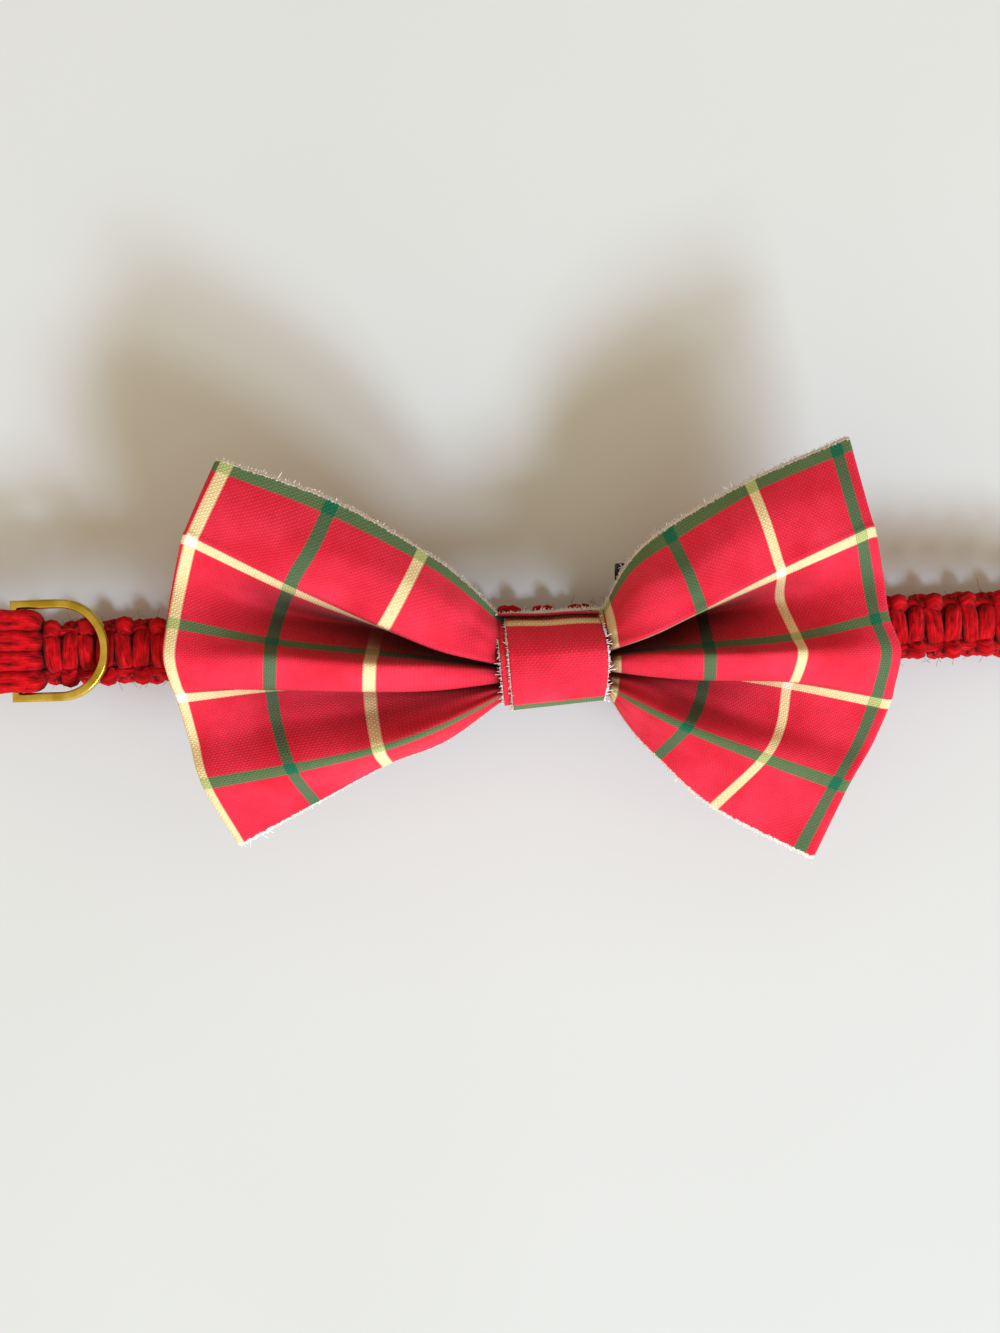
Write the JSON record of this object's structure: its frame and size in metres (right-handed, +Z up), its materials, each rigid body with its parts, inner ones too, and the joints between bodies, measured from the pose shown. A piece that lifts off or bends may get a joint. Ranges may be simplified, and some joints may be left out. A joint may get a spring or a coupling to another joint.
{
  "type": "pet bow tie collar",
  "caption": "Knotted cotton cord pet collar lying on its back, with a metal D-ring and a plaid cotton bow tie held on by elastic keepers.",
  "frame": {"origin": "middle of the underside of the whole lying collar", "axes": "+X along the flattened collar with the D-ring at -X, +Y across it towards the top of the bow, +Z up through the front of the bow"},
  "size_m": [0.2102, 0.0714, 0.0393],
  "materials": {
    "knotted_cord": "soft twisted cotton cord in square knots",
    "clasp_plastic": "plain moulded",
    "gilt_wire": "polished gilt",
    "plaid_cotton": "plain woven cotton, red ground with green and cream stripes",
    "flat_elastic": "ribbed flat elastic"
  },
  "bodies": {
    "root": {"strap": "knotted_cord", "clasp": "clasp_plastic", "d_ring": "gilt_wire", "bow": "plaid_cotton", "wrap": "plaid_cotton", "keeper_left": "flat_elastic", "keeper_right": "flat_elastic"}
  },
  "joints": []
}
